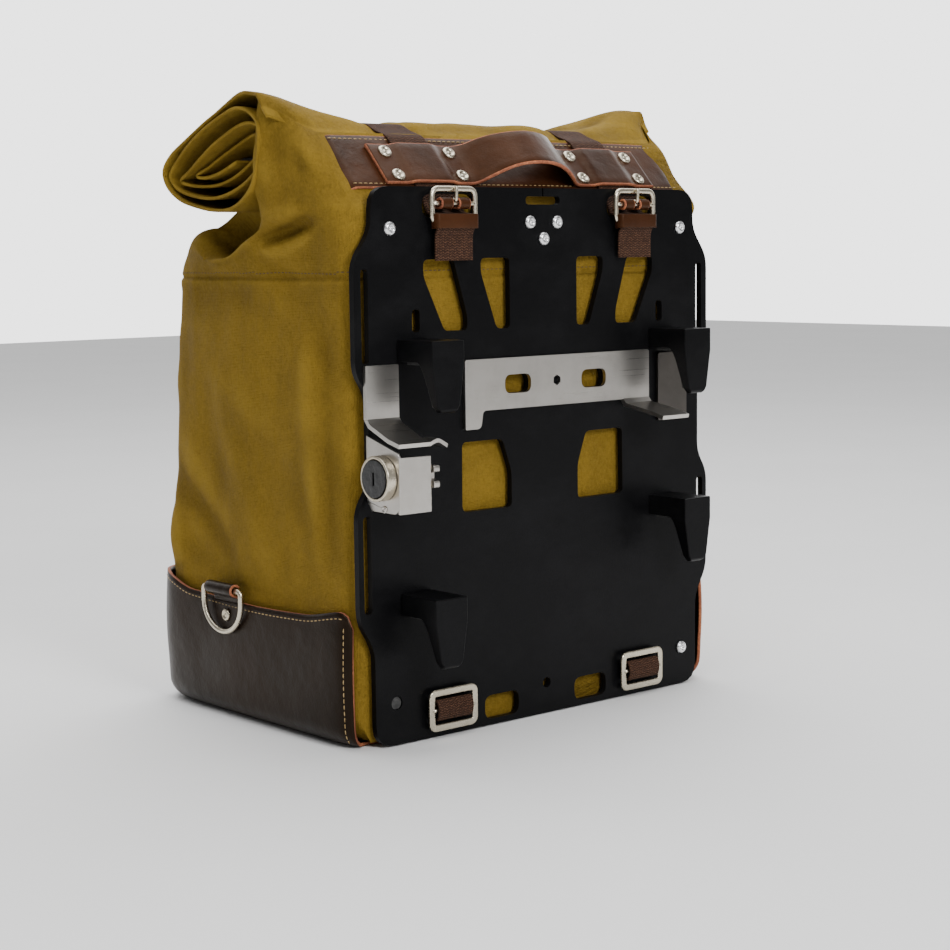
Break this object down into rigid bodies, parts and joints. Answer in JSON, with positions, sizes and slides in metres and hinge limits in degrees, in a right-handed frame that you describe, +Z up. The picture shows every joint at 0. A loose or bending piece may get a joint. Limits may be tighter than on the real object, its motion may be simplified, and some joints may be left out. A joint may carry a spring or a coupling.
{
  "type": "motorcycle saddlebag",
  "caption": "Roll-top canvas pannier in a leather boot, with a black carrier plate, hooks, a key lock, buckled webbing straps and a riveted leather handle.",
  "frame": {"origin": "middle of the boot's flat underside", "axes": "+Z up, the carrier plate faces -Y, the bag's front faces +Y, the key lock is on the -X side"},
  "size_m": [0.392, 0.3129, 0.4658],
  "materials": {
    "canvas": "waxed cotton canvas, matt",
    "boot_leather": "dark oiled leather, satin",
    "trim_leather": "brown leather with russet cut edges",
    "webbing": "woven cotton webbing",
    "nickel": "worn nickel",
    "stainless": "brushed",
    "zinc": "bright zinc",
    "black_coat": "satin black powder coat",
    "black_core": "satin black",
    "rubber": "matt",
    "board": "pressed board"
  },
  "bodies": {
    "bag": {"canvas_body": "canvas", "canvas_neck": "canvas", "roll_top": "canvas", "back_stiffener": "board", "base_stiffener": "board", "roll_batten": "board", "leather_boot": "boot_leather", "leather_strip": "trim_leather", "handle_strap": "trim_leather", "handle_rivet_1": "nickel", "handle_rivet_2": "nickel", "handle_rivet_3": "nickel", "handle_rivet_4": "nickel", "handle_rivet_5": "nickel", "handle_rivet_6": "nickel", "handle_rivet_7": "nickel", "handle_rivet_8": "nickel", "strap_left": "webbing", "buckle_wrap_left": "trim_leather", "lower_wrap_left": "webbing", "d_ring_tab_left": "boot_leather", "d_ring_rivet_left": "nickel", "strap_right": "webbing", "buckle_wrap_right": "trim_leather", "lower_wrap_right": "webbing", "d_ring_tab_right": "boot_leather", "d_ring_rivet_right": "nickel", "carrier_plate": "black_coat", "plate_plug": "rubber", "hook_upper_left": "black_coat", "hook_liner_upper_left": "rubber", "hook_upper_right": "black_coat", "hook_liner_upper_right": "rubber", "hook_lower_left": "black_coat", "hook_liner_lower_left": "rubber", "hook_lower_right": "black_coat", "hook_liner_lower_right": "rubber", "latch_bar": "stainless", "latch_keeper": "stainless", "lock_bracket": "stainless", "lock_box": "stainless", "lock_barrel": "nickel", "screw_upper_left": "zinc", "screw_upper_right": "zinc", "screw_middle_left": "zinc", "screw_middle_right": "zinc", "screw_middle_low": "zinc", "screw_lower_right": "zinc"},
    "d_ring_left": {"d_ring_left": "nickel"},
    "d_ring_right": {"d_ring_right": "nickel"},
    "buckle_left": {"buckle_frame_left": "nickel"},
    "buckle_right": {"buckle_frame_right": "nickel"},
    "prong_left": {"buckle_prong_left": "nickel"},
    "prong_right": {"buckle_prong_right": "nickel"},
    "lower_buckle_left": {"lower_frame_left": "nickel"},
    "lower_buckle_right": {"lower_frame_right": "nickel"},
    "lock_turn": {"lock_core": "black_core", "lock_cam": "stainless"}
  },
  "joints": [
    {"name": "d_ring_swing_left", "type": "hinge", "parent": "bag", "child": "d_ring_left", "pos_m": [-0.19, 0.019, 0.101], "axis": [0, 1, 0], "range_deg": [0, 110]},
    {"name": "buckle_tilt_left", "type": "hinge", "parent": "bag", "child": "buckle_left", "pos_m": [-0.0915, -0.1432, 0.3875], "axis": [1, 0, 0], "range_deg": [0, 10]},
    {"name": "prong_lift_left", "type": "hinge", "parent": "buckle_left", "child": "prong_left", "pos_m": [-0.0915, -0.1432, 0.3875], "axis": [1, 0, 0], "range_deg": [0, 95]},
    {"name": "lower_buckle_tilt_left", "type": "hinge", "parent": "bag", "child": "lower_buckle_left", "pos_m": [-0.098, -0.143, 0.0215], "axis": [1, 0, 0], "range_deg": [-9, 9]},
    {"name": "d_ring_swing_right", "type": "hinge", "parent": "bag", "child": "d_ring_right", "pos_m": [0.19, 0.019, 0.101], "axis": [0, -1, 0], "range_deg": [0, 110]},
    {"name": "buckle_tilt_right", "type": "hinge", "parent": "bag", "child": "buckle_right", "pos_m": [0.0915, -0.1432, 0.3875], "axis": [1, 0, 0], "range_deg": [0, 10]},
    {"name": "prong_lift_right", "type": "hinge", "parent": "buckle_right", "child": "prong_right", "pos_m": [0.0915, -0.1432, 0.3875], "axis": [1, 0, 0], "range_deg": [0, 95]},
    {"name": "lower_buckle_tilt_right", "type": "hinge", "parent": "bag", "child": "lower_buckle_right", "pos_m": [0.098, -0.143, 0.0215], "axis": [1, 0, 0], "range_deg": [-9, 9]},
    {"name": "key_turn", "type": "hinge", "parent": "bag", "child": "lock_turn", "pos_m": [-0.16, -0.158, 0.198], "axis": [1, 0, 0], "range_deg": [0, 90]}
  ]
}
